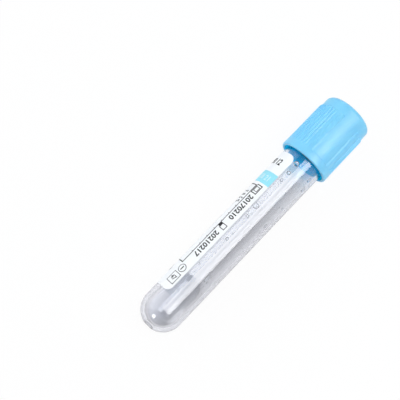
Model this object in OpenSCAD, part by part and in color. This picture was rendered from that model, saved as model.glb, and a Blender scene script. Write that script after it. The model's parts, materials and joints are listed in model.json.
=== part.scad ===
// Evacuated blood collection tube, 13 x 75 mm: a clear round-bottomed tube with a
// paper label and a little liquid additive, closed by a rubber stopper that is held
// in a ribbed safety cap. Millimetres. The tube lies on its side at rest, on its round
// end and on the rim of the cap's skirt, with the cap towards +X.

/* [Tube] */
// Outside diameter of the barrel
tube_od = 13; // [10:0.5:16]
// Length from the round tip to the mouth
tube_length = 75; // [60:1:120]
// Wall thickness at the mouth
mouth_wall = 1.0; // [0.7:0.05:1.6]
// Wall thickness at the round end
bottom_wall = 1.15; // [0.8:0.05:1.8]
// Depth of the parallel bore that the stopper seals in
seal_depth = 13; // [8:0.5:20]
// Radius on the mouth's inner and outer edges
mouth_edge_r = 0.3; // [0.1:0.05:0.4]
// Diameter of the sunk gate mark at the tip
gate_d = 3; // [1:0.1:5]
// Depth of the gate mark below its own rim
gate_depth = 0.2; // [0.05:0.05:0.4]
// Diameter of the broken gate stub in the mark
gate_stub_d = 0.9; // [0.4:0.1:1.6]

/* [Cap] */
// Height of the cap from the skirt's rim to the top face
cap_height = 20.4; // [16:0.2:30]
// How far the skirt comes down over the barrel
skirt_overlap = 9.5; // [5:0.5:15]
// Gap between the skirt's rim and the barrel, on the radius
skirt_gap = 0.75; // [0.3:0.05:1.5]
// Wall thickness of the skirt's rim
rim_wall = 0.97; // [0.7:0.05:1.6]
// Chamfer inside the rim, which leads the cap on to the tube
lead_in = 0.3; // [0.1:0.05:0.6]
// Height of the smooth band round the rim
rim_height = 2.5; // [1:0.1:5]
// Radius on the rim's outer edge, which the cap lies on
rim_edge_r = 0.4; // [0.1:0.05:0.6]
// Step down from the rim band to the wall above it
rim_step = 0.2; // [0.1:0.05:0.5]
// How much the wall above the rim band tapers in towards the top, on the radius
cap_taper = 0.24; // [0:0.02:0.6]
// Height of the smooth band round the top
top_band = 3.9; // [2:0.1:8]
// Radius on the top's outer edge
top_edge_r = 1.3; // [0.5:0.1:2]
// Thickness of the roof round the needle port
roof_thickness = 2.0; // [1:0.1:3]
// Diameter of the needle port in the roof
port_d = 9.5; // [6:0.5:11]
// Wall thickness beside the stopper's head
head_wall = 1.1; // [0.8:0.05:1.8]
// Thickness of the ledge that holds the stopper's head
ledge_thickness = 1.2; // [0.8:0.1:2]
// Diameter of the hole through the ledge
ledge_d = 10; // [7:0.5:11.5]

/* [Grip ribs] */
// Groups of ribs round the cap, with a smooth panel between them
rib_groups = 2; // [1:1:3]
// Fine ribs in one group
ribs_per_group = 14; // [4:1:14]
// Angle from one fine rib to the next
rib_pitch = 7; // [5.5:0.5:8]
// Radius of a fine rib's round crest and of its domed end
rib_r = 0.3; // [0.2:0.02:0.36]
// Angle from the last fine rib to the wide rib that ends the group
wide_rib_offset = 16.5; // [12:0.5:18]
// Angle that the wide rib covers
wide_rib_angle = 10; // [5:0.5:14]
// Radius on the top end of a wide rib
wide_rib_edge_r = 0.25; // [0.1:0.05:0.3]
// How far the ribs' crests lie below the rim band where they leave it
crest_step = 0.05; // [0.03:0.01:0.1]
// How far the crests lie below the rim band at the top end of the ribs
crest_drop = 0.1; // [0.06:0.02:0.2]
// Turn of the cap on the tube, from the lowest side at rest towards +Y
cap_turn = 114; // [0:1:359]

/* [Stopper] */
// How far the plug goes down into the mouth
plug_depth = 6.6; // [4:0.2:10]
// Clearance of the sealing beads in the bore, on the radius
plug_clearance = 0.05; // [0.01:0.01:0.1]
// How far the two sealing beads stand out from the plug
bead_height = 0.25; // [0.1:0.05:0.5]
// Height of the lower bead above the plug's end
low_bead = 1.6; // [1.2:0.1:2.5]
// Depth of the upper bead below the mouth
high_bead = 1.5; // [1.2:0.1:2.5]
// Height of the flange that sits on the mouth
flange_height = 2.5; // [1.5:0.1:4]
// Clearance of the flange inside the skirt, on the radius
flange_clearance = 0.35; // [0.1:0.05:0.8]
// Clearance all round the ledge
ledge_clearance = 0.1; // [0.05:0.01:0.2]
// Height of the stopper's head above the ledge
head_height = 2.2; // [1.5:0.1:3.5]
// Clearance of the head inside the cap, on the radius
head_clearance = 0.35; // [0.1:0.05:0.8]
// Radius on the edges of the head and flange
rubber_edge_r = 0.5; // [0.2:0.05:0.7]
// Diameter of the dished target for the needle
target_d = 6.4; // [3:0.2:8]
// Depth of the dished target
target_depth = 0.8; // [0.3:0.1:1.5]
// Diameter of the hollow under the plug
hollow_d = 5.4; // [3:0.2:7]
// Depth of the hollow under the plug, to the top of its dome
hollow_depth = 5; // [3:0.2:7]

/* [Label] */
// Distance from the round tip to the label
label_start = 10.8; // [8:0.2:20]
// Distance from the label to the rim of the cap's skirt
label_gap = 1.9; // [0.5:0.1:10]
// Width of the label round the tube, as an angle
label_wrap = 178; // [120:1:320]
// Thickness of the paper
label_thickness = 0.05; // [0.03:0.01:0.2]
// Thickness of the glue line under the paper
glue_line = 0.01; // [0.005:0.005:0.03]
// Radius of the label's corners
label_corner_r = 2; // [0.5:0.1:3]
// Edge of the label, from the lowest side at rest towards +Y
label_edge = -13; // [-60:1:60]

/* [Additive] */
// Depth of the liquid over the lowest side of the bore
pool_depth = 2.8; // [1:0.1:3.4]
// Clearance between the liquid and the bore
pool_clearance = 0.03; // [0.01:0.01:0.05]
// How far the liquid's front edge reaches past the centre of the round end
pool_reach = 13.5; // [6:0.5:16]
// Radius of the rounded front of the liquid
pool_front_r = 17; // [16.5:0.5:24]

/* [Hidden] */
$fn = 96;
// Overlap of shapes that are joined, and how far a cutter reaches past a face
eps = 0.01;
over = 1;
// Turn of the cap's seam, which keeps it clear of the ribs
seam_turn = 36;

tube_r = tube_od / 2;
mouth_bore_r = tube_r - mouth_wall;
bottom_bore_r = tube_r - bottom_wall;
seal_z = tube_length - seal_depth;
gate_r = gate_d / 2;
gate_rim_z = tube_r - sqrt(tube_r * tube_r - gate_r * gate_r);

rim_z = tube_length - skirt_overlap;
top_z = rim_z + cap_height;
roof_z = top_z - roof_thickness;
skirt_r = tube_r + skirt_gap;
rim_r = skirt_r + rim_wall;
wall_r = rim_r - rim_step;
top_r = wall_r - cap_taper;
head_bore_r = top_r - head_wall;

// The ribs are rooted inside the rim band, and their cores inside the wall
rib_root = 0.5;
rib_z = rim_z + rim_height;
rib_root_z = rib_z - rib_root;
rib_end_z = top_z - top_band;
rib_core_r = top_r - head_wall / 2;
rib_foot_r = rim_r - crest_step;
crest_r = rim_r - crest_drop;
group_half = (ribs_per_group - 1) / 2 * rib_pitch;

flange_z = tube_length + flange_height;
ledge_z = flange_z + ledge_clearance;
ledge_top_z = ledge_z + ledge_thickness;
head_z = ledge_top_z + ledge_clearance;
head_top_z = head_z + head_height;
plug_z = tube_length - plug_depth;
bead_r = mouth_bore_r - plug_clearance;
plug_r = bead_r - bead_height;
// Radius of a bead's own section
bead_round = 1;

label_end = rim_z - label_gap;
// How far a corner's arc cuts past the label's edges, so that it isn't tangent to them
corner_bite = 0.06;

// Rest: the centre of the round end is tube_r above the floor, and the cap lies on the
// rounded outer edge of its rim, which gives the tilt of the tube's axis.
rest_run = rim_z + rim_edge_r - tube_r;
rest_drop = rim_r - rim_edge_r;
tilt = atan(rest_drop / rest_run)
    - asin((tube_r - rim_edge_r) / sqrt(rest_run * rest_run + rest_drop * rest_drop));
// The overall length runs from the gate mark's rim to the cap's rounded top edge.
reach_back = (tube_r - gate_rim_z) * cos(tilt) + gate_r * sin(tilt);
reach_front = (top_z - tube_r - top_edge_r) * cos(tilt)
    + (top_r - top_edge_r) * sin(tilt) + top_edge_r;
centre_x = (reach_back - reach_front) / 2;

// ---- placing ----

// Lays a piece that is drawn upright, with its tip at the origin, as the tube rests
module lay() {
    translate([centre_x, 0, tube_r])
        rotate([0, 90 - tilt, 0])
            translate([0, 0, -tube_r])
                children();
}

// Turns a profile round the tube's axis. The seam is on the lowest side unless it is turned
module revolve(turn = 0) {
    rotate(turn)
        rotate_extrude()
            children();
}

// ---- profiles, drawn with the tube's axis as the Y axis ----

// What a round of radius r takes off the corner at p; dir points out of the corner
module corner_off(p, r, dir) {
    translate(p)
        scale([dir[0], dir[1]])
            translate([-r, -r])
                difference() {
                    square(r + over);
                    circle(r);
                }
}

// The space inside the tube, made smaller all round by gap, up to the height top
module bore_profile(gap = 0, top = tube_length + over) {
    intersection() {
        translate([0, tube_r]) circle(bottom_bore_r - gap);
        square([tube_od, tube_r]);
    }
    polygon([
        [0, tube_r], [bottom_bore_r - gap, tube_r], [mouth_bore_r - gap, seal_z],
        [mouth_bore_r - gap, top], [0, top]
    ]);
}

module tube_profile() {
    difference() {
        union() {
            intersection() {
                translate([0, tube_r]) circle(tube_r);
                square([tube_od, tube_r]);
            }
            translate([0, tube_r]) square([tube_r, tube_length - tube_r]);
        }
        bore_profile();
        corner_off([tube_r, tube_length], mouth_edge_r, [1, 1]);
        corner_off([mouth_bore_r, tube_length], mouth_edge_r, [-1, 1]);
        // the sunk gate mark
        translate([0, -over]) square([gate_r, over + gate_rim_z + gate_depth]);
    }
    // the broken stub of the gate
    translate([0, gate_rim_z])
        square([gate_stub_d / 2, gate_depth + eps]);
}

module cap_profile() {
    difference() {
        union() {
            translate([0, rim_z]) square([rim_r, rim_height]);
            polygon([
                [0, rim_z], [wall_r, rim_z], [wall_r, rib_z],
                [top_r, top_z - top_edge_r], [top_r, top_z], [0, top_z]
            ]);
        }
        corner_off([rim_r, rim_z], rim_edge_r, [1, -1]);
        corner_off([top_r, top_z], top_edge_r, [1, 1]);
        cap_inside_profile();
    }
}

// The space inside the cap: the skirt, the hole through the ledge, the room for the
// stopper's head and the needle port
module cap_inside_profile() {
    mouth_r = skirt_r + lead_in / 2;
    neck_r = skirt_r - lead_in / 2;
    polygon([
        [0, rim_z - over], [mouth_r, rim_z - over],
        [mouth_r, rim_z], [skirt_r, rim_z + lead_in],
        [neck_r, ledge_z], [ledge_d / 2, ledge_z],
        [ledge_d / 2, ledge_top_z], [head_bore_r, ledge_top_z],
        [head_bore_r, roof_z], [port_d / 2, roof_z],
        [port_d / 2, top_z + over], [0, top_z + over]
    ]);
}

module stopper_profile() {
    flange_r = skirt_r - flange_clearance;
    head_r = head_bore_r - head_clearance;
    waist_r = ledge_d / 2 - ledge_clearance;
    difference() {
        union() {
            translate([0, plug_z]) square([plug_r, plug_depth + eps]);
            intersection() {
                for (z = [plug_z + low_bead, tube_length - high_bead])
                    translate([bead_r - bead_round, z]) circle(bead_round);
                translate([0, plug_z]) square([tube_od, plug_depth]);
            }
            translate([0, tube_length]) square([flange_r, flange_height]);
            translate([0, flange_z - eps]) square([waist_r, head_z - flange_z + 2 * eps]);
            translate([0, head_z]) square([head_r, head_height]);
        }
        corner_off([plug_r, plug_z], rubber_edge_r, [1, -1]);
        corner_off([flange_r, flange_z], rubber_edge_r, [1, 1]);
        corner_off([head_r, head_z], rubber_edge_r, [1, -1]);
        corner_off([head_r, head_top_z], rubber_edge_r, [1, 1]);
        target_dish();
        plug_hollow();
    }
}

// The needle's target, a shallow dish cut by a large circle
module target_dish() {
    half = target_d / 2;
    dish_r = (half * half + target_depth * target_depth) / (2 * target_depth);
    intersection() {
        translate([0, head_top_z - target_depth + dish_r]) circle(dish_r);
        translate([0, head_top_z - target_depth - over])
            square([half, target_depth + 2 * over]);
    }
}

// The hollow under the plug ends in a dome, which leaves a thin wall to pierce
module plug_hollow() {
    half = hollow_d / 2;
    translate([0, plug_z - over]) square([half, hollow_depth - half + over]);
    intersection() {
        translate([0, plug_z + hollow_depth - half]) circle(half);
        translate([0, plug_z]) square([half, hollow_depth]);
    }
}

// ---- ribs of the cap ----

// One fine rib: a round bar with a domed end, rooted in the rim band, that leans in
// with its crest line
module fine_rib() {
    lean = atan((crest_drop - crest_step) / (rib_end_z - rib_root_z));
    bar = rib_end_z - rib_root_z - rib_r;
    translate([rib_foot_r - rib_r, 0, rib_root_z])
        rotate([0, -lean, 0])
            rotate_extrude($fn = 24) {
                square([rib_r, bar]);
                intersection() {
                    translate([0, bar]) circle(rib_r);
                    translate([0, bar]) square(rib_r);
                }
            }
}

// One wide rib: a slice of a ring whose crest follows the fine ribs
module wide_rib() {
    rotate_extrude(angle = wide_rib_angle, start = -wide_rib_angle / 2)
        difference() {
            polygon([
                [rib_core_r, rib_root_z], [rib_foot_r, rib_root_z],
                [crest_r, rib_end_z], [rib_core_r, rib_end_z]
            ]);
            corner_off([crest_r, rib_end_z], wide_rib_edge_r, [1, 1]);
        }
}

module rib_group() {
    for (i = [0 : ribs_per_group - 1])
        rotate(i * rib_pitch - group_half) fine_rib();
    for (side = [-1, 1])
        rotate(side * (group_half + wide_rib_offset)) wide_rib();
}

// ---- the pieces ----

module tube() {
    color("gainsboro", 0.35)
        lay()
            revolve() tube_profile();
}

// What is cut off a label corner: dir is [towards the edge, towards the end]
module label_corner(angle, z, dir) {
    rotate(angle)
        translate([tube_r - over, 0, z])
            rotate([90, 0, 90])
                linear_extrude(2 * over)
                    scale(dir)
                        difference() {
                            square(label_corner_r + over);
                            circle(label_corner_r);
                        }
}

module label() {
    inner_r = tube_r + glue_line;
    corner_in = label_corner_r - corner_bite;
    corner_angle = asin(corner_in / (inner_r + label_thickness / 2));
    low = label_edge + corner_angle;
    high = label_edge + label_wrap - corner_angle;
    near = label_start + corner_in;
    far = label_end - corner_in;
    color("white")
        lay()
            difference() {
                rotate_extrude(angle = label_wrap, start = label_edge)
                    translate([inner_r, label_start])
                        square([label_thickness, label_end - label_start]);
                label_corner(low, near, [-1, -1]);
                label_corner(low, far, [-1, 1]);
                label_corner(high, near, [1, -1]);
                label_corner(high, far, [1, 1]);
            }
}

// The liquid lies level in the round end and ends in a rounded front
module citrate() {
    level_z = bottom_wall + pool_depth;
    front_drop = sqrt(pool_front_r * pool_front_r - pool_reach * pool_reach);
    color("aliceblue", 0.5)
        intersection() {
            lay() revolve() bore_profile(pool_clearance, seal_z);
            translate([centre_x - tube_r, -tube_r, 0])
                cube([tube_length, tube_od, level_z]);
            translate([centre_x, 0, bottom_wall - front_drop]) sphere(pool_front_r);
        }
}

module stopper() {
    color("lightslategray")
        lay()
            revolve() stopper_profile();
}

module cap() {
    color("skyblue")
        lay()
            union() {
                revolve(seam_turn) cap_profile();
                for (g = [0 : rib_groups - 1])
                    rotate(cap_turn + g * 360 / rib_groups) rib_group();
            }
}

tube();
label();
citrate();
stopper();
cap();
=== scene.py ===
# %% [markdown]
# # A blood collection tube
#
# This tube is a clear plastic vial, 13 mm across and 75 mm long, with a paper label, a
# few drops of liquid inside, and a ribbed cap that holds a rubber stopper. It lies on its
# side, on its round end and on the rim of the cap. We build its looks round a CAD model
# that is already right in size. The tube's place, axis and radius are read from that
# model's record, and the other sizes repeat the model's own, in millimetres.

# %% Load the frame
import json
import math
import random

import bpy
from mathutils import Matrix, Vector


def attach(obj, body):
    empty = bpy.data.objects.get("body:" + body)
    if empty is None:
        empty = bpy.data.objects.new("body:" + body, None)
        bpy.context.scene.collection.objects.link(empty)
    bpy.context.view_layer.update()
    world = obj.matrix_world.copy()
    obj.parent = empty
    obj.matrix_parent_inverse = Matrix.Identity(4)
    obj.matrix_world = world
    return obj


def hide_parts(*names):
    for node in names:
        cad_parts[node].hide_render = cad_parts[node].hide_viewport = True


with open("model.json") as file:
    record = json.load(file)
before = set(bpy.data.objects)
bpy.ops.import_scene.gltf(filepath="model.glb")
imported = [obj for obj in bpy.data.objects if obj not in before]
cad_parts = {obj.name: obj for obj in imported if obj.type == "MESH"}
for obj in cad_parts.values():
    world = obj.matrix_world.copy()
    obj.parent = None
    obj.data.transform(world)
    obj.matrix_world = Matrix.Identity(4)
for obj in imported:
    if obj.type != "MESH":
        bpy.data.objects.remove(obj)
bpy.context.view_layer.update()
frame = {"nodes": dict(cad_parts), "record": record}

# %% [markdown]
# ## Where the tube lies
#
# It is much easier to model a tube that stands upright on the Z axis than one that lies
# tilted on a floor. So each piece is drawn upright, with the round tip at the origin, and
# is laid down at the end with one matrix. The record's barrel mount gives the tube's
# axis and radius, and the middle of the barrel between the round end and the cap.

# %% The axis and the matrix that lays a piece down
MM = 0.001

mounts = {mount["name"]: mount for mount in frame["record"]["mounts"]}
barrel = mounts["barrel"]
axis = Vector(barrel["axis"])
tube_r = barrel["dims"]["r_mm"]
barrel_length = barrel["dims"]["length_mm"]
round_centre = Vector(barrel["pos_m"]) - axis * (barrel_length / 2 * MM)
tilt = math.asin(axis.z)
LAY = (
    Matrix.Translation(round_centre)
    @ Matrix.Rotation(math.pi / 2 - tilt, 4, "Y")
    @ Matrix.Translation((0, 0, -tube_r * MM))
)
centre_mm = [round(value / MM, 3) for value in round_centre]
print(f"the axis leans {math.degrees(tilt):.2f} degrees")
print("the round end's centre is at", centre_mm, "mm")

# %% [markdown]
# ## Small helpers for modelling
#
# An operator in Blender works on whatever is selected, and loading the frame leaves its
# parts selected. The first helper clears that, and the next three open a piece, close it
# up and change it with a modifier. The last lays a finished piece down and leaves its
# object at the origin with its place in its mesh, which keeps patterns on Object
# coordinates still when the cap moves.
#
# Some tools treat points that are close together as one. Their usual tolerance suits a
# room, but a tenth of a millimetre is as wide as our smallest droplet and would tear it,
# so this script sets its own.


# %% Selecting and laying down
same_point = 1e-6  # metres: points nearer than this are merged
clean_cut = 1e-7  # metres: a cut this near to a point goes through it


def select_only(*objects):
    """Selects these objects and nothing else, in object mode."""
    if bpy.context.mode != "OBJECT":
        bpy.ops.object.mode_set(mode="OBJECT")
    bpy.ops.object.select_all(action="DESELECT")
    for obj in objects:
        obj.select_set(True)
    bpy.context.view_layer.objects.active = objects[0] if objects else None


def edit_all(piece):
    """Opens a piece in edit mode with all of it selected."""
    select_only(piece)
    bpy.ops.object.mode_set(mode="EDIT")
    bpy.ops.mesh.select_all(action="SELECT")


def close_mesh(piece):
    """Merges doubled points and turns all faces outwards."""
    edit_all(piece)
    bpy.ops.mesh.remove_doubles(threshold=same_point)
    bpy.ops.mesh.normals_make_consistent(inside=False)
    bpy.ops.object.mode_set(mode="OBJECT")


def apply_modifier(piece, kind, **settings):
    """Adds a modifier with these settings and applies it."""
    select_only(piece)
    modifier = piece.modifiers.new(kind.lower(), kind)
    for name, value in settings.items():
        setattr(modifier, name, value)
    bpy.ops.object.modifier_apply(modifier=modifier.name)


def lay_down(piece, angle):
    """Lays an upright piece as the tube lies. Edges sharper than the angle stay crisp."""
    piece.data.transform(LAY)
    select_only(piece)
    bpy.ops.object.shade_smooth_by_angle(angle=math.radians(angle))
    piece.data.update()
    print(f"{piece.name}: {len(piece.data.vertices)} points, {len(piece.data.polygons)} faces")


# %% [markdown]
# ## Turned shapes
#
# The tube, its stopper and its cap are all round. A lathe is the natural tool: we draw
# half of the outline and spin it round the axis. A single point is extruded from corner
# to corner, which makes the outline, and the Spin tool turns it. Real moulded plastic
# has no sharp edge, so each corner of an outline gets a small radius first.


# %% Outlines and the lathe
def arc(centre, radius, start, end, steps):
    """Points on an arc; angles in degrees from the +X direction."""
    angles = [math.radians(start + (end - start) * i / steps) for i in range(steps + 1)]
    return [
        (centre[0] + radius * math.cos(a), centre[1] + radius * math.sin(a)) for a in angles
    ]


def soften(corners, steps=5):
    """Rounds the corners of an outline. Each corner is (radius from axis, height, round)."""
    points = []
    for i, (x, z, size) in enumerate(corners):
        here = Vector((x, z))
        if size == 0 or i in (0, len(corners) - 1):
            points.append((x, z))
            continue
        back = (Vector(corners[i - 1][:2]) - here).normalized()
        on = (Vector(corners[i + 1][:2]) - here).normalized()
        half = back.angle(on) / 2
        reach = size / math.tan(half)
        middle = here + (back + on).normalized() * (size / math.sin(half))
        first, last = here + back * reach - middle, here + on * reach - middle
        turn = first.angle_signed(last)
        for step in range(steps + 1):
            leg = first.copy()
            leg.rotate(Matrix.Rotation(-turn * step / steps, 2))
            points.append(tuple(middle + leg))
    return points


def lathe(name, outline, turns=((360, 192),)):
    """Spins an outline of (radius, height) points, in millimetres, about the Z axis."""
    select_only()
    bpy.ops.mesh.primitive_plane_add(size=MM)
    piece = bpy.context.object
    piece.name = piece.data.name = name
    bpy.ops.object.mode_set(mode="EDIT")
    bpy.ops.mesh.merge(type="CENTER")
    at = Vector((0, 0, 0))
    for i, (radius, height) in enumerate(outline):
        to = Vector((radius, 0, height)) * MM
        if i == 0:
            bpy.ops.transform.translate(value=to - at)
        else:
            bpy.ops.mesh.extrude_region_move(TRANSFORM_OT_translate={"value": to - at})
        at = to
    bpy.ops.mesh.select_all(action="SELECT")
    for angle, steps in turns:
        bpy.ops.mesh.spin(
            steps=steps, angle=math.radians(angle), center=(0, 0, 0), axis=(0, 0, 1)
        )
    close_mesh(piece)
    return piece


# %% [markdown]
# ## The clear tube
#
# The vial is moulded from clear PET. It has a round bottom with a small sunk mark where
# the plastic was let into the mould, a barrel whose bore hardly tapers, and a rounded
# mouth. Light bends twice in each wall, so both the outside and the bore have to be real
# surfaces with a true wall between them. One outline goes up the outside, over the mouth
# and down the bore, and the lathe closes it on the axis at both ends.

# %% Turn the tube
tube_length = 75
mouth_bore_r, bottom_bore_r, bottom_wall = 5.5, 5.35, 1.15
seal_z = 62
gate_r, gate_depth, stub_r = 1.5, 0.2, 0.45
gate_rim_z = tube_r - math.sqrt(tube_r**2 - gate_r**2)
gate_floor_z = gate_rim_z + gate_depth

gate_angle = math.degrees(math.asin(gate_r / tube_r)) - 90
outside = soften(
    [
        (0, gate_rim_z + 0.02, 0),
        (stub_r, gate_rim_z + 0.05, 0.06),
        (stub_r, gate_floor_z, 0.06),
        (gate_r - 0.03, gate_floor_z, 0.07),
        (gate_r, gate_rim_z, 0.05),
        arc((0, tube_r), tube_r, gate_angle + 1.5, 0, 1)[0] + (0,),
    ],
    steps=4,
)
outside += arc((0, tube_r), tube_r, gate_angle + 2.5, 0, 44)
barrel_top = soften(
    [
        (tube_r, tube_length - 1, 0),
        (tube_r, tube_length, 0.3),
        (mouth_bore_r, tube_length, 0.3),
        (mouth_bore_r, tube_length - 1, 0),
    ]
)
inside = [(mouth_bore_r, seal_z)] + arc((0, tube_r), bottom_bore_r, 0, -90, 40)
tube = lathe("tube_wall", outside + barrel_top + inside)
lay_down(tube, 30)

# %% [markdown]
# ## The liquid in the round end
#
# A coagulation tube comes with a little clear liquid. It lies level, whichever way the
# tube leans, so its top can't be drawn upright: the bore's round end is turned once more
# as a solid, laid down, and cut with a level plane. The liquid must touch the wall with
# no air between, so this solid reaches a hair into the plastic. Its front edge is rounded
# off by a ball, as surface tension does.

# %% Fill the round end
pool_depth, pool_reach, pool_front_r = 2.8, 13.5, 17
into_wall = 0.02
above_pool = 20
pool_outline = [(0, bottom_wall - into_wall)]
pool_outline += arc((0, tube_r), bottom_bore_r + into_wall, -89, 0, 36)
pool_outline += [(bottom_bore_r + into_wall + 0.03, above_pool), (0, above_pool)]
pool = lathe("citrate_pool", pool_outline, ((360, 96),))
pool.data.transform(LAY)
level = (bottom_wall + pool_depth) * MM
edit_all(pool)
bpy.ops.mesh.bisect(
    plane_co=(0, 0, level), plane_no=(0, 0, 1), use_fill=True, clear_outer=True
)
ball_z = (bottom_wall - math.sqrt(pool_front_r**2 - pool_reach**2)) * MM
select_only()
bpy.ops.mesh.primitive_uv_sphere_add(
    segments=128, ring_count=64, radius=pool_front_r * MM, location=(round_centre.x, 0, ball_z)
)
ball = bpy.context.object
apply_modifier(pool, "BOOLEAN", operation="INTERSECT", object=ball, solver="EXACT")
bpy.data.objects.remove(ball)
close_mesh(pool)
select_only(pool)
bpy.ops.object.shade_smooth_by_angle(angle=math.radians(25))
print("citrate_pool:", len(pool.data.polygons), "faces, level at", round(level / MM, 2), "mm")

# %% [markdown]
# ## Droplets on the inner wall
#
# The liquid has splashed about, and beads cling to the bore. Each is a flat dome of
# water. A metaball could merge them, but it would be hard to seat on a round wall. So
# one function makes a bead from a small sphere, which is squashed along its height and
# cut just under the wall's surface, so that it sits on the plastic and not in the air.


# %% The shape of one bead
def bore_radius(height):
    """The bore's radius at a height above the tip, in millimetres."""
    share = min(max((height - tube_r) / (seal_z - tube_r), 0), 1)
    return bottom_bore_r + (mouth_bore_r - bottom_bore_r) * share


def on_bore(height, angle):
    """A matrix whose Z points from the wall to the axis, at a height and an angle."""
    a = math.radians(angle)
    out = Vector((math.cos(a), math.sin(a), 0))
    turn = Matrix((out.cross(Vector((0, 0, 1))), Vector((0, 0, 1)), -out)).transposed()
    place = out * bore_radius(height) * MM + Vector((0, 0, height * MM))
    return Matrix.Translation(place) @ turn.to_4x4()


def bead(width, length, height):
    """A dome of water, in millimetres, which stands on the XY plane."""
    select_only()
    bpy.ops.mesh.primitive_uv_sphere_add(segments=20, ring_count=10, radius=MM)
    drop = bpy.context.object
    edit_all(drop)
    bpy.ops.transform.resize(value=(width / 2, length / 2, height))
    sink = 0.03 + (max(width, length) / 2) ** 2 / (2 * bottom_bore_r)
    bpy.ops.mesh.bisect(
        plane_co=(0, 0, -min(sink, height * 0.8) * MM),
        plane_no=(0, 0, 1),
        use_fill=True,
        clear_inner=True,
        threshold=clean_cut,
    )
    bpy.ops.object.mode_set(mode="OBJECT")
    return drop


# %% [markdown]
# A few large beads catch the eye, so each has its place in a list. The rest are made by
# chance: splashes all along the tube, and a fine mist near the cap. A fixed seed puts
# them at the same places each time.

# %% Place the beads along the bore
# Each bead: height above the tip, angle from straight up towards -Y, width, length, height
named_beads = [
    (33.0, -1, 0.9, 1.1, 0.28),
    (41.7, -4, 1.0, 1.0, 0.3),
    (45.5, -7, 1.8, 1.7, 0.42),
    (56.0, -4, 0.8, 1.2, 0.30),
    (59.0, -4, 1.2, 1.2, 0.5),
    (62.5, -6, 1.6, 1.6, 0.65),
    (21.0, 36, 0.9, 2.4, 0.35),
    (43.5, 58, 0.8, 1.4, 0.30),
    (59.0, 68, 0.9, 1.6, 0.30),
    (62.0, 58, 0.8, 1.5, 0.30),
]
splashes, mist = 34, 56


def small_bead(is_mist):
    """Chooses a small bead by chance, in the same terms as the list above."""
    width = random.uniform(0.1, 0.22) if is_mist else random.uniform(0.2, 0.55)
    height = random.triangular(48, 66, 63) if is_mist else random.uniform(14, 67)
    angle = random.uniform(20, 90) if is_mist else random.uniform(-14, 130)
    length = width * random.uniform(0.9, 1.6)
    return height, angle, width, length, width * random.uniform(0.24, 0.4)


random.seed(7)
small_beads = [small_bead(number >= splashes) for number in range(splashes + mist)]
beads = []
for height, angle, width, length, thick in named_beads + small_beads:
    drop = bead(width, length, thick)
    drop.data.transform(LAY @ on_bore(height, 180 + angle))
    beads.append(drop)
select_only(*beads)
bpy.ops.object.join()
droplets = bpy.context.object
droplets.name = droplets.data.name = "droplets"
edit_all(droplets)
bpy.ops.mesh.normals_make_consistent(inside=False)
select_only(droplets)
bpy.ops.object.shade_smooth_by_angle(angle=math.radians(50))
print("droplets:", len(beads), "beads,", len(droplets.data.polygons), "faces")

# %% [markdown]
# ## The paper label
#
# The label goes half way round the barrel. On the bench it is a flat sheet with rounded
# corners, so we model it flat: X runs round the tube, Y runs along it, and Z is the
# height above the glue. Cuts every few degrees let it bend. Then one function wraps it:
# X becomes an angle and Z becomes a radius. The print is made flat too and wrapped by
# the same function, so it always lies right on the paper.

# %% Flat sheets and how they wrap
label_edge, label_wrap = -13, 178
label_start, label_end = 10.8, 63.6
glue, paper_thickness = 0.01, 0.05
label_r = tube_r + glue
first_cut, cut_step = 0.2, 2.5
DEG = math.radians(1) * label_r  # millimetres round the tube for one degree


def cut_columns(piece):
    """Cuts a flat piece across every few degrees, so that it can bend."""
    edit_all(piece)
    angle = first_cut
    while angle < label_wrap:
        bpy.ops.mesh.select_all(action="SELECT")
        bpy.ops.mesh.bisect(
            plane_co=(angle * DEG * MM, 0, 0), plane_no=(1, 0, 0), threshold=clean_cut
        )
        angle += cut_step
    bpy.ops.object.mode_set(mode="OBJECT")


def thicken(piece, bottom, thickness):
    """Gives a flat sheet a thickness, with its underside at a height above the glue."""
    apply_modifier(piece, "SOLIDIFY", thickness=thickness * MM, offset=1)
    piece.data.transform(Matrix.Translation((0, 0, bottom * MM)))


def wrap(piece):
    """Wraps a flat piece round the barrel: X turns into an angle, Z into a radius."""
    for point in piece.data.vertices:
        x, y, z = point.co
        angle = math.radians(label_edge) + x / (label_r * MM)
        radius = label_r * MM + z
        point.co = (radius * math.cos(angle), radius * math.sin(angle), y)


def sheet(name, left, right, low, high, corner=0.0):
    """A flat rectangle from one angle to another and from one height to another."""
    select_only()
    bpy.ops.mesh.primitive_plane_add(size=1)
    piece = bpy.context.object
    piece.name = piece.data.name = name
    edit_all(piece)
    bpy.ops.transform.resize(value=((right - left) * DEG * MM, (high - low) * MM, 1))
    bpy.ops.transform.translate(
        value=((left + right) / 2 * DEG * MM, (low + high) / 2 * MM, 0)
    )
    if corner:
        bpy.ops.mesh.bevel(
            offset=corner * MM, segments=12, affect="VERTICES", clamp_overlap=True
        )
    bpy.ops.object.mode_set(mode="OBJECT")
    return piece


# %% [markdown]
# The paper is one sheet with four round corners. A modifier gives it its thickness while
# it is flat, and the wrap then bends both faces and the edges between them together.

# %% Make the paper
label = sheet("label_paper", 0, label_wrap, label_start, label_end, corner=2)
cut_columns(label)
thicken(label, 0, paper_thickness)
wrap(label)
close_mesh(label)
lay_down(label, 40)

# %% [markdown]
# ## The print on the label
#
# A lab fills in a small table, and numbers run beside it. Ink has no height to speak of,
# but a printed shape still has a crisp outline, so each line, box and digit is a real
# flat shape about a hundredth of a millimetre thick. Only plain numbers, boxes, bars and
# a ring are used, with no words or marks. Pen-like helpers draw them in degrees round
# the tube and millimetres along it.

# %% Lines, boxes, rings and digits
ink_shapes = []
hair = 0.005
capital_share = 0.7  # how tall a digit is, as a share of the font's size


def bar(left, right, low, high):
    """A filled bar of ink."""
    ink_shapes.append(sheet("bar", left, right, low, high))


def across(angle_from, angle_to, height, width):
    """A line round the tube."""
    bar(angle_from, angle_to, height - width / 2, height + width / 2)


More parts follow.
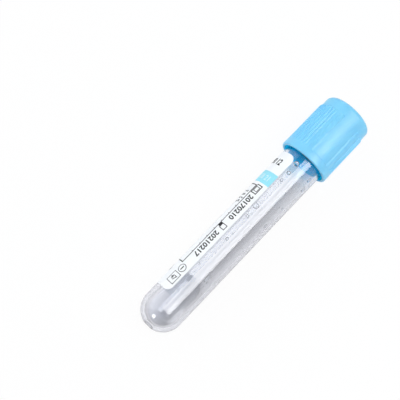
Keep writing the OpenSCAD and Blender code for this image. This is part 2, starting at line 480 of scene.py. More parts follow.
def along(angle, low, high, width=0.3):
    """A line along the tube."""
    half = width / 2 / DEG
    bar(angle - half, angle + half, low, high)


def box(left, right, low, high, width):
    """An outlined box."""
    half = width / 2 / DEG
    for height in (low, high):
        across(left - half, right + half, height, width)
    # The other two bars stop a hair short, so that no two shapes meet in a point
    inset = width / 2 + hair
    for angle in (left, right):
        bar(angle - half, angle + half, low + inset, high - inset)


def ring(angle, height, radius, width):
    """A ring: a flat circle, inset, with its middle taken out."""
    select_only()
    middle = (angle * DEG * MM, height * MM, 0)
    bpy.ops.mesh.primitive_circle_add(
        vertices=40, radius=radius * MM, fill_type="NGON", location=middle
    )
    piece = bpy.context.object
    bpy.ops.object.transform_apply()
    edit_all(piece)
    bpy.ops.mesh.inset(thickness=width * MM)
    bpy.ops.mesh.delete(type="FACE")
    bpy.ops.object.mode_set(mode="OBJECT")
    ink_shapes.append(piece)


def digits(text, angle, height, size, length, along_tube=False, bold=0.0, store=ink_shapes):
    """Numbers that start at a place and fill a length, in millimetres. Across the tube they
    read round it, with their tops to the cap; along it they read from the cap to the tip."""
    select_only()
    bpy.ops.object.text_add()
    piece = bpy.context.object
    piece.data.body = text
    piece.data.size = size / capital_share * MM
    piece.data.offset = bold * MM
    piece.data.resolution_u = 4
    bpy.context.view_layer.update()
    piece.scale.x = length * MM / piece.dimensions.x
    piece.rotation_euler.z = -math.pi / 2 if along_tube else 0
    piece.location = (angle * DEG * MM, height * MM, 0)
    bpy.ops.object.convert(target="MESH")
    piece = bpy.context.object
    bpy.ops.object.transform_apply()
    print(f"  {text}: {piece.dimensions.x / MM:.1f} by {piece.dimensions.y / MM:.1f} mm")
    store.append(piece)


# %% [markdown]
# Now the helpers draw: the lab's table with its two inner lines, a number with fine
# stripes at the round end, a number near the cap, and two long numbers beside the table,
# each with a small box. Below those come a ring and a number in a box, and a row of
# ticks. Angles run from the label's edge under the tube, up round its far side, and
# heights run from the tip.

# %% Draw the table and the numbers
box(32, 144.5, 19.8, 50.4, 0.3)
for angle in (69.5, 107):
    along(angle, 19.9, 50.3)
bar(3.5, 24.5, 31.2, 33.0)
box(10.5, 25.5, 19.8, 27.4, 0.14)
for step in range(9):
    along(12 + step * 1.5, 20.2, 27.0, 0.06)
digits("18 034 276", 22, 15.7, 2.3, 10.5, bold=0.06)
digits("0123 4567 890 12", 22, 58.9, 2.0, 15.2, bold=0.09)
digits("1234", 42, 47.4, 1.6, 5.2, along_tube=True)
digits("567", 78, 47.4, 1.6, 4.4, along_tube=True)
digits("1 2 3 4", 119, 48, 0.9, 4.6, along_tube=True, bold=0.02)
digits("5 6 7 8", 129, 48, 0.9, 4.6, along_tube=True, bold=0.02)
digits("20170210", 152.5, 47, 1.75, 9.2, along_tube=True, bold=0.07)
digits("20210217", 152.5, 32.8, 1.75, 9.4, along_tube=True, bold=0.07)
box(148, 165, 47.9, 50.8, 0.28)
box(151, 162, 48.6, 50.1, 0.18)
box(154, 170, 34.1, 35.6, 0.22)
bar(146, 154, 34.3, 35.7)
box(147.5, 171, 13.2, 16.6, 0.18)
digits("47", 151, 14.2, 1.4, 1.85, bold=0.03)
ring(159, 18.4, 1.3, 0.18)
bar(157.5, 160.5, 17.7, 19.1)
for height in range(24, 46, 3):
    across(139, 142.5, height, 0.2)
print("ink shapes:", len(ink_shapes))

# %% [markdown]
# Everything of one ink becomes one thin piece. It is joined while it is flat, then cut,
# thickened and wrapped just as the paper was. Digits that are made bolder can leave
# slivers where an outline crosses itself, so those are dissolved before the wrap. The
# coloured band lies under its own pale numbers, so each print has its own lift.

# %% Lay the print on the paper
print_point = 2e-6  # metres: as same_point, for the print's finer outlines
print_sliver = 3e-7  # metres: an edge shorter than this is dissolved


def print_on_paper(name, shapes, lift, thickness=0.012):
    """Joins flat shapes into one print, cuts it to bend, and wraps it over the paper."""
    select_only(*shapes)
    bpy.ops.object.join()
    piece = bpy.context.object
    piece.name = piece.data.name = name
    select_only(piece)
    bpy.ops.object.transform_apply()
    edit_all(piece)
    bpy.ops.mesh.remove_doubles(threshold=print_point)
    bpy.ops.mesh.normals_make_consistent(inside=False)
    bpy.ops.object.mode_set(mode="OBJECT")
    if sum(face.normal.z * face.area for face in piece.data.polygons) < 0:
        piece.data.flip_normals()
    cut_columns(piece)
    edit_all(piece)
    bpy.ops.mesh.dissolve_degenerate(threshold=print_sliver)
    bpy.ops.mesh.select_all(action="SELECT")
    bpy.ops.mesh.delete_loose(use_verts=True, use_edges=True)
    bpy.ops.object.mode_set(mode="OBJECT")
    thicken(piece, paper_thickness + lift, thickness)
    wrap(piece)
    lay_down(piece, 30)
    return piece


ink = print_on_paper("label_ink", ink_shapes, 0.003)
band_shape = sheet("band", 0.3, label_wrap - 0.3, 51.7, 56.0)
band = print_on_paper("label_band", [band_shape], 0.002)
mark_shapes = []
digits("3 6 9 12 15 18 21", 30, 52.9, 1.8, 15.0, store=mark_shapes)
marks = print_on_paper("label_band_marks", mark_shapes, 0.016, 0.008)

# %% [markdown]
# ## The ribbed cap
#
# The safety cap is injection moulded, with two groups of fine grip ribs, a wide rib at
# each end of a group, a smooth band round the rim and another at the top. Its round
# shape is turned on the lathe in unequal steps, fine where ribs are and coarse on the
# plain panels. The wall tapers very slightly to the top, and the outline has extra rows
# where the ribs end, so that there are points enough to shape them.

# %% Turn the cap's outline
rim_z, cap_height = tube_length - 9.5, 20.4
top_z = rim_z + cap_height
roof_z = top_z - 2
rim_r, wall_r, top_r = 8.22, 8.02, 7.78
skirt_r, ledge_r, port_r = 7.25, 5.0, 4.75
head_bore_r = top_r - 1.1
ledge_z, ledge_top_z = 77.6, 78.8
rib_z, rib_end_z = rim_z + 2.5, top_z - 3.9
top_edge_r, taper_end = 1.3, 0.15
row_gap, end_row_gap = 0.9, 0.065


def wall_radius(height):
    """The plain wall's radius between the rim band and the top."""
    share = (height - rib_z) / (top_z - top_edge_r - rib_z)
    return wall_r + (top_r - wall_r) * share


rib_rows = [rib_z + 0.3 + i * row_gap for i in range(15)]
rib_rows += [rib_end_z - 0.65 + i * end_row_gap for i in range(13)]
cap_inside = [
    (port_r, roof_z + 1, 0),
    (port_r, roof_z, 0.1),
    (head_bore_r, roof_z, 0.3),
    (head_bore_r, ledge_top_z, 0.15),
    (ledge_r, ledge_top_z, 0.12),
    (ledge_r, ledge_z, 0.12),
    (skirt_r - 0.15, ledge_z, 0.4),
    (skirt_r, rim_z + 0.3, 0.1),
    (skirt_r + 0.15, rim_z, 0.08),
    (rim_r, rim_z, 0.4),
    (rim_r, rib_z, 0.1),
    (wall_r, rib_z, 0.07),
    (wall_radius(rib_z + 0.3), rib_z + 0.3, 0),
]
cap_top = [
    (wall_radius(rib_end_z + 0.4), rib_end_z + 0.4, 0),
    (top_r, top_z - top_edge_r - taper_end, 6),
    (top_r, top_z, top_edge_r),
    (port_r, top_z, 0.25),
    (port_r, roof_z + 1, 0),
]
cap_outline = soften(cap_inside, 4)
cap_outline += [(wall_radius(z), z) for z in rib_rows[1:]]
cap_outline += soften(cap_top, 8)

rib_pitch, ribs_per_group = 7, 14
cap_turn, wide_rib_offset, wide_rib_half = 114, 16.5, 5
group_half = (ribs_per_group - 1) / 2 * rib_pitch
half_panel = (90 - group_half - rib_pitch / 2, 36)
rib_group = (ribs_per_group * rib_pitch, 168)
cap = lathe("cap_shell", cap_outline, [half_panel, rib_group, half_panel] * 2)
print("cap_shell:", len(cap_outline), "points in the outline")

# %% [markdown]
# Next the wall's points are moved outwards where a rib is. A rib made in this way flows
# out of the wall with a soft foot, as in a real mould, where a bar put on top would
# leave a hard crease. A mask says how far each point goes, from 0 beside a rib to 1 on
# its crest.


# %% Raise the ribs
def smooth_step(low, high, value):
    """0 below low, 1 above high, and a soft curve between."""
    share = min(max((value - low) / (high - low), 0), 1)
    return share * share * (3 - 2 * share)


def bar_mask(side, below_end, half, rounding, soft):
    """1 on a raised bar and 0 off it. Side is the distance from the bar's middle and
    below_end how far a point lies below its end; the end's corners are rounded."""
    in_x = abs(side) - (half - rounding)
    in_z = rounding - below_end
    if in_x > 0 and in_z > 0:
        edge = math.hypot(in_x, in_z) - rounding
    else:
        edge = max(in_x, in_z) - rounding
    return 1 - smooth_step(-soft, soft, edge)


crest_foot_r, crest_end_r = rim_r - 0.05, rim_r - 0.1
fine_rib_half, fine_rib_soft = 0.26, 0.13
wide_rib_round, wide_rib_soft = 0.5, 0.1
for point in cap.data.vertices:
    x, y, z = point.co / MM
    radius = math.hypot(x, y)
    if radius < wall_radius(rib_end_z) - 0.1 or not rib_z - 0.05 < z < rib_end_z + 0.3:
        continue
    # The lathe starts in the middle of a plain panel, 90 degrees before a group's middle
    angle = math.degrees(math.atan2(y, x)) % 180 - 90
    crest = crest_foot_r + (crest_end_r - crest_foot_r) * (z - rib_z) / (rib_end_z - rib_z)
    if abs(angle) > group_half + rib_pitch / 2:
        side = math.radians(abs(angle) - group_half - wide_rib_offset) * crest
        half = math.radians(wide_rib_half) * crest
        mask = bar_mask(side, rib_end_z - z, half, wide_rib_round, wide_rib_soft)
    else:
        nearest = round((angle + group_half) / rib_pitch) * rib_pitch - group_half
        side = math.radians(angle - nearest) * crest
        mask = bar_mask(side, rib_end_z - z, fine_rib_half, fine_rib_half, fine_rib_soft)
    raised = max(radius, radius + (crest - radius) * mask)
    point.co.x *= raised / radius
    point.co.y *= raised / radius
cap.data.transform(Matrix.Rotation(math.radians(cap_turn - 90), 4, "Z"))
close_mesh(cap)
lay_down(cap, 50)

# %% [markdown]
# ## Shader groups that several finishes share
#
# Most surfaces here have some very fine grain and some slow, cloudy unevenness. Each is
# built once as a node group with named inputs, and every material sets its own values.
# The groups give only values; the shaders stay in the materials.


# %% Build the groups
def new_group(name, inputs, outputs):
    """An empty shader node group with float inputs (name: default) and outputs."""
    group = bpy.data.node_groups.new(name, "ShaderNodeTree")
    sockets = [(title, "INPUT") for title in inputs] + [(title, "OUTPUT") for title in outputs]
    for title, side in sockets:
        socket = group.interface.new_socket(title, in_out=side, socket_type="NodeSocketFloat")
        if side == "INPUT":
            socket.default_value = inputs[title]
    start = group.nodes.new("NodeGroupInput")
    end = group.nodes.new("NodeGroupOutput")
    start.location, end.location = (-800, 0), (600, 0)
    return group, start, end


def add(tree, kind, x, y, settings=None, **inputs):
    """Adds a node. Inputs are set by name, with _ for a space."""
    node = tree.nodes.new("ShaderNode" + kind)
    node.location = (x, y)
    for name, value in (settings or {}).items():
        setattr(node, name, value)
    for name, value in inputs.items():
        node.inputs[name.replace("_", " ")].default_value = value
    return node


def noise_in_mm(group, start, **inputs):
    """Noise on the object's own coordinates, whose size is set in millimetres."""
    place = add(group, "TexCoord", -800, 300)
    scale = add(group, "Math", -600, 0, {"operation": "DIVIDE"})
    scale.inputs[0].default_value = 1 / MM
    noise = add(group, "TexNoise", -400, 100, {"noise_dimensions": "3D"}, **inputs)
    group.links.new(start.outputs["Size mm"], scale.inputs[1])
    group.links.new(place.outputs["Object"], noise.inputs["Vector"])
    group.links.new(scale.outputs[0], noise.inputs["Scale"])
    return noise


grain, start, end = new_group("fine_grain", {"Size mm": 0.2, "Roughness": 0.5}, ["Height"])
noise = noise_in_mm(grain, start, Detail=3)
grain.links.new(start.outputs["Roughness"], noise.inputs["Roughness"])
grain.links.new(noise.outputs["Fac"], end.inputs["Height"])

cloud, start, end = new_group("cloudy", {"Size mm": 6, "Low": 0.0, "High": 1.0}, ["Value"])
links = cloud.links
noise = noise_in_mm(cloud, start, Detail=2, Roughness=0.45)
smooth_map = {"interpolation_type": "SMOOTHSTEP"}
remap = add(cloud, "MapRange", -100, 0, smooth_map, From_Min=0.3, From_Max=0.7)
links.new(noise.outputs["Fac"], remap.inputs["Value"])
links.new(start.outputs["Low"], remap.inputs["To Min"])
links.new(start.outputs["High"], remap.inputs["To Max"])
links.new(remap.outputs["Result"], end.inputs["Value"])
print("groups:", [group.name for group in bpy.data.node_groups])

# %% [markdown]
# Each material starts from a Principled shader. No real surface has one exact colour or
# gloss, so small helpers let the colour and the roughness drift a little and add grain
# to the skin. A texture from an image could do the same, but these stay sharp at any
# distance and need no file.


# %% Helpers for materials
def new_material(name, **inputs):
    """A material with a Principled shader whose plain values are set here."""
    material = bpy.data.materials.new(name)
    material.use_nodes = True
    tree = material.node_tree
    shader = tree.nodes["Principled BSDF"]
    for key, value in inputs.items():
        shader.inputs[key.replace("_", " ")].default_value = value
    return material, tree, shader


def use_group(tree, group, x, y, **inputs):
    """Places a shared group in a material with its own values."""
    node = tree.nodes.new("ShaderNodeGroup")
    node.node_tree = group
    node.location = (x, y)
    for key, value in inputs.items():
        node.inputs[key.replace("_", " ")].default_value = value
    return node


def vary_colour(tree, shader, light, dark, size):
    """Base colour that drifts slowly between two near shades."""
    factor = use_group(tree, cloud, -750, 300, Size_mm=size)
    blend = add(tree, "Mix", -500, 300, {"data_type": "RGBA"})
    blend.inputs["A"].default_value = (*dark, 1)
    blend.inputs["B"].default_value = (*light, 1)
    tree.links.new(factor.outputs["Value"], blend.inputs["Factor"])
    tree.links.new(blend.outputs["Result"], shader.inputs["Base Color"])


def vary_roughness(tree, shader, low, high, size):
    """Roughness that drifts slowly between two values."""
    factor = use_group(tree, cloud, -500, 0, Size_mm=size, Low=low, High=high)
    tree.links.new(factor.outputs["Value"], shader.inputs["Roughness"])


def add_grain(tree, shader, size, distance_mm, strength=1.0, harshness=0.5):
    """A fine bump from the grain group."""
    height = use_group(tree, grain, -500, -300, Size_mm=size, Roughness=harshness)
    bump = add(tree, "Bump", -250, -300, Strength=strength, Distance=distance_mm * MM)
    tree.links.new(height.outputs["Height"], bump.inputs["Height"])
    tree.links.new(bump.outputs["Normal"], shader.inputs["Normal"])


# %% [markdown]
# ## Light that passes through
#
# A path tracer needs very many samples to carry light through bent walls on to the
# table, so here shadow rays pass straight through: the shader is swapped for a tinted
# transparent one when a ray only asks whether a point is lit. A real wall bends light
# away where it meets it at a shallow angle, which draws the dark line along a clear
# tube, so the tint is darker there.


# %% Helpers for clear finishes
def upright_place(tree, x, y):
    """A point's place in the standing tube's own coordinates, in metres."""
    place = add(tree, "TexCoord", x - 200, y)
    stand = add(tree, "Mapping", x, y, {"vector_type": "TEXTURE"})
    stand.inputs["Location"].default_value = LAY.to_translation()
    stand.inputs["Rotation"].default_value = LAY.to_euler()
    tree.links.new(place.outputs["Object"], stand.inputs["Vector"])
    return stand


def even_out(tree, shade, tint, height_mm):
    """Fades a tint from the shaded one to an even one, from just below a height upwards."""
    height = add(tree, "SeparateXYZ", -100, 900)
    covered = add(tree, "MapRange", 100, 900)
    covered.inputs["From Min"].default_value = (height_mm - 2) * MM
    covered.inputs["From Max"].default_value = (height_mm + 0.5) * MM
    evened = add(tree, "Mix", 250, 600, {"data_type": "RGBA"})
    evened.inputs["B"].default_value = (*tint, 1)
    tree.links.new(upright_place(tree, -300, 900).outputs["Vector"], height.inputs["Vector"])
    tree.links.new(height.outputs["Z"], covered.inputs["Value"])
    tree.links.new(covered.outputs["Result"], evened.inputs["Factor"])
    tree.links.new(shade.outputs["Color"], evened.inputs["A"])
    return evened.outputs["Result"]


def let_shadow_rays_pass(tree, shader, tint, edge_tint, even_above=None):
    """Swaps a shader for a transparent one on shadow rays, with one tint for light that
    meets the surface square on and one for light that meets it at a shallow angle. Above
    the height even_above (mm) the light is scattered already, so the tint is even."""
    path = add(tree, "LightPath", 0, 400)
    facing = add(tree, "LayerWeight", -300, 600, Blend=0.5)
    shade = add(tree, "ValToRGB", -100, 600)
    for stop, position, colour in ((0, 0.2, tint), (1, 0.5, edge_tint)):
        shade.color_ramp.elements[stop].position = position
        shade.color_ramp.elements[stop].color = (*colour, 1)
    clear = add(tree, "BsdfTransparent", 300, -150)
    tree.links.new(facing.outputs["Facing"], shade.inputs["Fac"])
    shadow_tint = shade.outputs["Color"]
    if even_above is not None:
        shadow_tint = even_out(tree, shade, tint, even_above)
    tree.links.new(shadow_tint, clear.inputs["Color"])
    mix = add(tree, "MixShader", 500, 0)
    tree.links.new(path.outputs["Is Shadow Ray"], mix.inputs["Fac"])
    tree.links.new(shader.outputs["BSDF"], mix.inputs[1])
    tree.links.new(clear.outputs["BSDF"], mix.inputs[2])
    tree.links.new(mix.outputs["Shader"], tree.nodes["Material Output"].inputs["Surface"])


# %% [markdown]
# ## Clear plastic
#
# PET is clear with a faint grey-lavender tint, and it bends light more than glass does.
# The tint sits in the volume, so it deepens where a ray crosses more plastic, as it does
# at the edges and in the thick round end. Long shallow waves along the barrel come from
# the mould, so the bump is stretched along the axis. Under the cap's skirt light comes
# from all sides, and there the shadow tint is even.

# %% The tube's material
pet_colour = (0.99, 0.99, 0.995, 1)
pet, tree, shader = new_material(
    "clear_pet", Base_Color=pet_colour, IOR=1.575, Transmission_Weight=1.0, Roughness=0.02
)
place = add(tree, "TexCoord", -1100, -300)
stretch = add(tree, "Mapping", -900, -300, Scale=(25, 420, 420))
waves = add(tree, "TexNoise", -700, -300, Scale=1.0, Detail=1.5, Roughness=0.4)
bump = add(tree, "Bump", -250, -300, Strength=1.0, Distance=0.0025 * MM)
tree.links.new(place.outputs["Object"], stretch.inputs["Vector"])
tree.links.new(stretch.outputs["Vector"], waves.inputs["Vector"])
tree.links.new(waves.outputs["Fac"], bump.inputs["Height"])
tree.links.new(bump.outputs["Normal"], shader.inputs["Normal"])
vary_roughness(tree, shader, 0.015, 0.06, 5)
let_shadow_rays_pass(tree, shader, (1.0, 1.0, 1.0), (0.05, 0.07, 0.11), rim_z)
depth = add(tree, "VolumeAbsorption", 300, -300, Color=(0.5, 0.52, 0.62, 1), Density=95)
tree.links.new(depth.outputs["Volume"], tree.nodes["Material Output"].inputs["Volume"])
print("clear_pet:", len(tree.nodes), "nodes")

# %% [markdown]
# The gate's scar is a sunk ring at the tip. Its step bends light and shows as a thin
# darker ring, and that ring is painted shade in the plastic's colour. The step itself is in
# the mesh; the painted shade is a mask on the distance from the axis, which fades out on
# both sides of the step and stops a little way above the tip.

# %% The scar of the gate, and its painted shade
# painted shade: a darker ring where the scar's step bends light away
scar_painted_shade = (0.2, 0.21, 0.25, 1)
scar_half, scar_fade, scar_top = 0.14, 0.3, 0.8
stand = upright_place(tree, -1300, 400)
flat = add(tree, "VectorMath", -1100, 300, {"operation": "MULTIPLY"})
flat.inputs[1].default_value = (1, 1, 0)
distance = add(tree, "VectorMath", -950, 300, {"operation": "LENGTH"})
off = add(tree, "Math", -800, 300, {"operation": "SUBTRACT"})
off.inputs[1].default_value = gate_r * MM
apart = add(tree, "Math", -650, 300, {"operation": "ABSOLUTE"})
ring_mask = add(tree, "MapRange", -500, 300, To_Min=1, To_Max=0)
ring_mask.inputs["From Min"].default_value = scar_half * MM
ring_mask.inputs["From Max"].default_value = scar_fade * MM
split = add(tree, "SeparateXYZ", -950, 500)
tip = add(tree, "Math", -800, 500, {"operation": "LESS_THAN"})
tip.inputs[1].default_value = scar_top * MM
at_ring = add(tree, "Math", -350, 400, {"operation": "MULTIPLY"})
scar = add(tree, "Mix", -200, 300, {"data_type": "RGBA"})
scar.inputs["A"].default_value = pet_colour
scar.inputs["B"].default_value = scar_painted_shade
tree.links.new(stand.outputs["Vector"], flat.inputs[0])
tree.links.new(stand.outputs["Vector"], split.inputs["Vector"])
tree.links.new(flat.outputs["Vector"], distance.inputs[0])
tree.links.new(distance.outputs["Value"], off.inputs[0])
tree.links.new(off.outputs["Value"], apart.inputs[0])
tree.links.new(apart.outputs["Value"], ring_mask.inputs["Value"])
tree.links.new(split.outputs["Z"], tip.inputs[0])
tree.links.new(ring_mask.outputs["Result"], at_ring.inputs[0])
tree.links.new(tip.outputs["Value"], at_ring.inputs[1])
tree.links.new(at_ring.outputs["Value"], scar.inputs["Factor"])
tree.links.new(scar.outputs["Result"], shader.inputs["Base Color"])
print("clear_pet with the scar:", len(tree.nodes), "nodes")

# %% [markdown]
# ## Liquid
#
# The citrate solution is plain clear water to the eye. Water bends light less than
# plastic does, so the pool and the beads show against the wall. Their slight unevenness
# is only on the skin, and they share one material.

# %% The liquid's material
water_colour = (0.97, 0.98, 0.99, 1)
water, tree, shader = new_material(
    "citrate_liquid", Base_Color=water_colour, IOR=1.34, Transmission_Weight=1.0, Roughness=0.0
)
add_grain(tree, shader, 1.2, 0.01, 0.6)
vary_roughness(tree, shader, 0.0, 0.02, 2)
let_shadow_rays_pass(tree, shader, (0.76, 0.77, 0.8), (0.5, 0.52, 0.56))
print("citrate_liquid:", len(tree.nodes), "nodes")

# %% [markdown]
# ## The cap's plastic
#
# The cap is a satin, slightly translucent polymer. Its colour is even, with hardly
# visible flow clouds. Light goes a little way in before it comes out again, which
# softens the ribs, so it has some subsurface scattering. The mould's texture gives a
# fine skin that breaks up reflections.

# %% The cap's material
# The tint of light that comes through the cap, square on and at a shallow angle
cap_shadow = (0.1, 0.8, 1.0), (0.08, 0.76, 1.0)


def cap_finish(name, light, dark, gloss, scatter_mm, roughness, grain_strength):
    """The cap's polymer, in its own shade or in the deeper shade painted inside the skirt.
    Light scatters a little way into it.
    """
    material, tree, shader = new_material(
        name, Subsurface_Weight=0.5, Subsurface_Scale=scatter_mm * MM, Specular_IOR_Level=gloss
    )
    shader.inputs["Subsurface Radius"].default_value = (1.0, 1.0, 1.0)
    vary_colour(tree, shader, light, dark, 5)
    vary_roughness(tree, shader, *roughness, 3)
    add_grain(tree, shader, 0.25, 0.002, grain_strength)
    let_shadow_rays_pass(tree, shader, *cap_shadow)
    print(f"{name}:", len(tree.nodes), "nodes")
    return material


cap_blue = cap_finish(
    "cap_plastic", (0.235, 0.66, 0.965), (0.21, 0.63, 0.955), 0.5, 0.3, (0.3, 0.38), 0.6
)

# %% [markdown]
# Light that has got into the skirt bounces about between its walls, and each bounce takes
# out more red. That is why the inside of such a cap looks much deeper in colour than its
# outside. Few bounces are traced here, so that deeper shade is painted into the inner
# faces' own colour.

# %% The inside of the cap, with painted shade
# painted shade: the inner faces' deeper blue stands in for light bounced between the skirt's
# walls
cap_painted_deep = cap_finish(
    "cap_plastic_inside", (0.004, 0.7, 1.0), (0.003, 0.66, 0.98), 0.1, 0.6, (0.35, 0.45), 0.5
)

# %% [markdown]
# ## Rubber
#
# The stopper is matt butyl rubber with a bloom on it, a dry greyish film. A high, uneven
# roughness and a low gloss give that film; a second shader layered on top would not show
# on so small a piece.

# %% The stopper's material
rubber, tree, shader = new_material("stopper_rubber", Specular_IOR_Level=0.35)
vary_colour(tree, shader, (0.24, 0.36, 0.46), (0.19, 0.3, 0.4), 1.5)
vary_roughness(tree, shader, 0.6, 0.8, 1)
add_grain(tree, shader, 0.1, 0.01, 1.0, 0.7)
print("stopper_rubber:", len(tree.nodes), "nodes")

# %% [markdown]
# ## Paper and ink
#
# The label is coated paper: smooth, a little glossy, with the fibres just showing through
# the coating. Ink sinks in and is never quite solid, so each ink has a second shade and
# a fine grain. The three inks differ only in colour and gloss, so one function makes them.

# %% The label's materials
paper, tree, shader = new_material("label_paper", Specular_IOR_Level=0.4)
vary_colour(tree, shader, (0.915, 0.945, 0.975), (0.89, 0.925, 0.96), 1.2)
vary_roughness(tree, shader, 0.42, 0.55, 2)
add_grain(tree, shader, 0.15, 0.004, 0.8, 0.65)


def ink_material(name, light, dark, rough):
    """A printed ink: two near shades, matt, with a fine grain."""
    material, tree, shader = new_material(name, Specular_IOR_Level=0.3)
    vary_colour(tree, shader, light, dark, 0.25)
    vary_roughness(tree, shader, rough, rough + 0.12, 0.6)
    add_grain(tree, shader, 0.08, 0.003, 0.6, 0.6)
    return material


black_ink = ink_material("black_ink", (0.03, 0.031, 0.035), (0.012, 0.012, 0.014), 0.5)
blue_ink = ink_material("band_ink", (0.34, 0.79, 0.93), (0.29, 0.74, 0.91), 0.45)
white_ink = ink_material("band_marks_ink", (0.75, 0.93, 0.98), (0.68, 0.89, 0.96), 0.45)
print("materials:", [material.name for material in (paper, black_ink, blue_ink, white_ink)])

# %% [markdown]
# ## Dress the pieces
#
# Each new piece takes the place of a CAD part or is added to one, rides on that part's
# body, and gets its material. The stopper keeps its CAD shape, which is already as smooth
# as the real one, and only gets its rubber. The cap has two materials, so the faces inside
# its skirt are told apart by where they lie.


# %% Assign materials and bodies
def dress(piece, material, body, node=None):
    """Gives a piece its material and its body; node is the CAD part it replaces."""
    piece.data.materials.clear()
    piece.data.materials.append(material)
    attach(piece, body)
    if node:
        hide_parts(node)


dress(tube, pet, "tube", "tube")
dress(pool, water, "tube", "citrate")
dress(droplets, water, "tube")
dress(label, paper, "tube", "label")
dress(ink, black_ink, "tube")
dress(band, blue_ink, "tube")
dress(marks, white_ink, "tube")
dress(cap, cap_blue, "closure", "cap")
cap.data.materials.append(cap_painted_deep)
stand_up = LAY.inverted()
for face in cap.data.polygons:
    middle = stand_up @ face.center / MM
    if math.hypot(middle.x, middle.y) < skirt_r + 0.1 and rim_z < middle.z < ledge_z + 0.1:
        face.material_index = 1
stopper = frame["nodes"]["stopper"]
stopper.data.materials.clear()
stopper.data.materials.append(rubber)
print("faces inside the skirt:", sum(face.material_index for face in cap.data.polygons))

# %% [markdown]
# ## The studio
#
# The tube lies on a plain pale table in a white room. What the camera sees behind the
# object is pure white. Gloss and clear plastic see the same white a little darker, with
# a dim ceiling, so that they have something to show. All other rays meet a room half as
# bright, because there the lamps do the lighting. The Light Path node tells rays apart.

# %% The room
scene = bpy.context.scene
scene.view_settings.view_transform = "Standard"

world = bpy.data.worlds.new("studio")
scene.world = world
world.use_nodes = True
tree = world.node_tree
background = tree.nodes["Background"]
background.inputs["Color"].default_value = (1, 1, 1, 1)


def seen_ray(tree):
    """1 for a ray from the camera, or one that gloss or clear plastic sends on."""
    path = add(tree, "LightPath", -900, 0)
    first = add(tree, "Math", -700, 0, {"operation": "MAXIMUM"})
    both = add(tree, "Math", -500, 0, {"operation": "MAXIMUM"})
    tree.links.new(path.outputs["Is Camera Ray"], first.inputs[0])
    tree.links.new(path.outputs["Is Glossy Ray"], first.inputs[1])
    tree.links.new(first.outputs[0], both.inputs[0])
    tree.links.new(path.outputs["Is Transmission Ray"], both.inputs[1])
    fresh = add(tree, "Math", -500, -200, {"operation": "LESS_THAN"})
    fresh.inputs[1].default_value = 0.5
    tree.links.new(path.outputs["Diffuse Depth"], fresh.inputs[0])
    seen = add(tree, "Math", -300, -100, {"operation": "MULTIPLY"})
    tree.links.new(both.outputs[0], seen.inputs[0])
    tree.links.new(fresh.outputs[0], seen.inputs[1])
    return seen, first, path


room_light, ceiling_light, mirrored_light = 0.5, 0.12, 0.85
ceiling_start, ceiling_full = 0.35, 0.85


def white_level(tree, path, x, y):
    """The brightness of white: full to the camera, a little less in gloss and plastic."""
    level = add(tree, "MapRange", x, y, To_Min=mirrored_light, To_Max=1.0)
    tree.links.new(path.outputs["Is Camera Ray"], level.inputs["Value"])
    return level


seen, _, path = seen_ray(tree)
white = white_level(tree, path, -700, 250)
way = add(tree, "TexCoord", -900, 400)
up = add(tree, "SeparateXYZ", -700, 400)
backdrop = add(tree, "MapRange", -500, 400, smooth_map, To_Max=ceiling_light)
backdrop.inputs["From Min"].default_value = ceiling_start
backdrop.inputs["From Max"].default_value = ceiling_full
strength = add(tree, "MapRange", -100, 0, To_Min=room_light)
tree.links.new(way.outputs["Generated"], up.inputs["Vector"])
tree.links.new(up.outputs["Z"], backdrop.inputs["Value"])
tree.links.new(white.outputs["Result"], backdrop.inputs["To Min"])
tree.links.new(backdrop.outputs["Result"], strength.inputs["To Max"])
tree.links.new(seen.outputs[0], strength.inputs["Value"])
tree.links.new(strength.outputs["Result"], background.inputs["Strength"])
print("room:", len(tree.nodes), "nodes")

# %% [markdown]
# Four soft lamps light the tube. The large key lamp overhead lights nearly everything.
# A photographer would move reflectors about until the highlights sit well; here a lamp
# can instead be hidden from some kinds of ray. So one lamp just under the key shows only
# in gloss, one past the round end shows in gloss and through the plastic but lights no
# surface, and a fill lamp behind lifts the shadows without being mirrored.


# %% The lamps
def softbox(name, place, aim, size, radiance):
    """A flat rectangular lamp that shines towards a point, with a set brightness."""
    data = bpy.data.lights.new(name, "AREA")
    data.shape = "RECTANGLE"
    data.size, data.size_y = size
    data.energy = radiance * math.pi * size[0] * size[1]
    lamp = bpy.data.objects.new(name, data)
    lamp.location = place
    lamp.rotation_euler = (Vector(aim) - Vector(place)).to_track_quat("-Z", "Y").to_euler()
    scene.collection.objects.link(lamp)
    return lamp


softbox("key_light", (0.10, -0.2725, 0.5), (0.10, -0.2725, 0), (0.32, 0.505), 3.4)
shine = softbox("shine_light", (0.10, -0.375, 0.499), (0.10, -0.375, 0), (0.32, 0.355), 4.6)
shine.visible_diffuse = shine.visible_transmission = False
fill = softbox("fill_light", (-0.12, 0.45, 0.25), (0, 0, 0), (0.6, 0.6), 1.25)
fill.visible_glossy = False
end = softbox("end_light", (-0.5, 0.06, 0.25), (0, 0, 0), (0.12, 0.12), 14)
end.visible_diffuse = False
print("lamps:", [lamp.name for lamp in bpy.data.lights])

# %% [markdown]
# The table is a plain sheet, a hair under the tube. To the camera and to gloss it is
# mostly a white of its own and only partly lit, so it stays white but keeps a faint
# shadow. Through the clear plastic it is almost all real shading, because that is where
# the tube's own shadow shows.

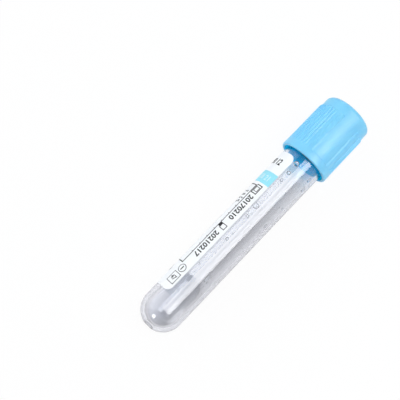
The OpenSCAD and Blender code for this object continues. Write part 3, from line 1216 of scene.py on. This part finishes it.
# %% The table
table_size, table_gap = 6, 0.03
own_white, own_white_through = 0.94, 0.05
select_only()
bpy.ops.mesh.primitive_grid_add(
    x_subdivisions=4, y_subdivisions=4, size=table_size, location=(0, 0, -table_gap * MM)
)
table = bpy.context.object
table.name = "table"
table_white, tree, shader = new_material("table_white", Specular_IOR_Level=0.0, Roughness=0.9)
shader.inputs["Base Color"].default_value = (0.92, 0.925, 0.955, 1)
glow = add(tree, "Emission", 300, -300)
glow.inputs["Color"].default_value = (1, 1, 1, 1)
_, direct, path = seen_ray(tree)
tree.links.new(white_level(tree, path, 100, -300).outputs["Result"], glow.inputs["Strength"])
through = add(tree, "MapRange", -400, 400, To_Min=own_white, To_Max=own_white_through)
share = add(tree, "Math", -200, 200, {"operation": "MULTIPLY"})
mix = add(tree, "MixShader", 300, 0)
tree.links.new(path.outputs["Is Transmission Ray"], through.inputs["Value"])
tree.links.new(through.outputs["Result"], share.inputs[1])
tree.links.new(direct.outputs[0], share.inputs[0])
tree.links.new(share.outputs[0], mix.inputs["Fac"])
tree.links.new(shader.outputs["BSDF"], mix.inputs[1])
tree.links.new(glow.outputs["Emission"], mix.inputs[2])
tree.links.new(mix.outputs["Shader"], tree.nodes["Material Output"].inputs["Surface"])
table.data.materials.append(table_white)
print(f"table: {table_size} m across, {table_gap} mm under the tube")

# %% [markdown]
# ## The camera
#
# It looks down on the tube steeply, and a little from the side that the label leaves
# clear, through a fairly long lens that keeps the tube's sides nearly parallel.

# %% Place the camera
camera_at = Vector((-44.913, -22.368, 234.96)) * MM
aim_at = Vector((-5.213, 15.501, 0)) * MM
camera_data = bpy.data.cameras.new("camera")
camera_data.lens, camera_data.sensor_width = 72, 36
camera_data.clip_start = 0.01
camera = bpy.data.objects.new("camera", camera_data)
camera.location = camera_at
camera.rotation_euler = (aim_at - camera_at).to_track_quat("-Z", "Y").to_euler()
scene.collection.objects.link(camera)
scene.camera = camera
print("the camera is", round((camera_at - aim_at).length / MM), "mm from where it looks")
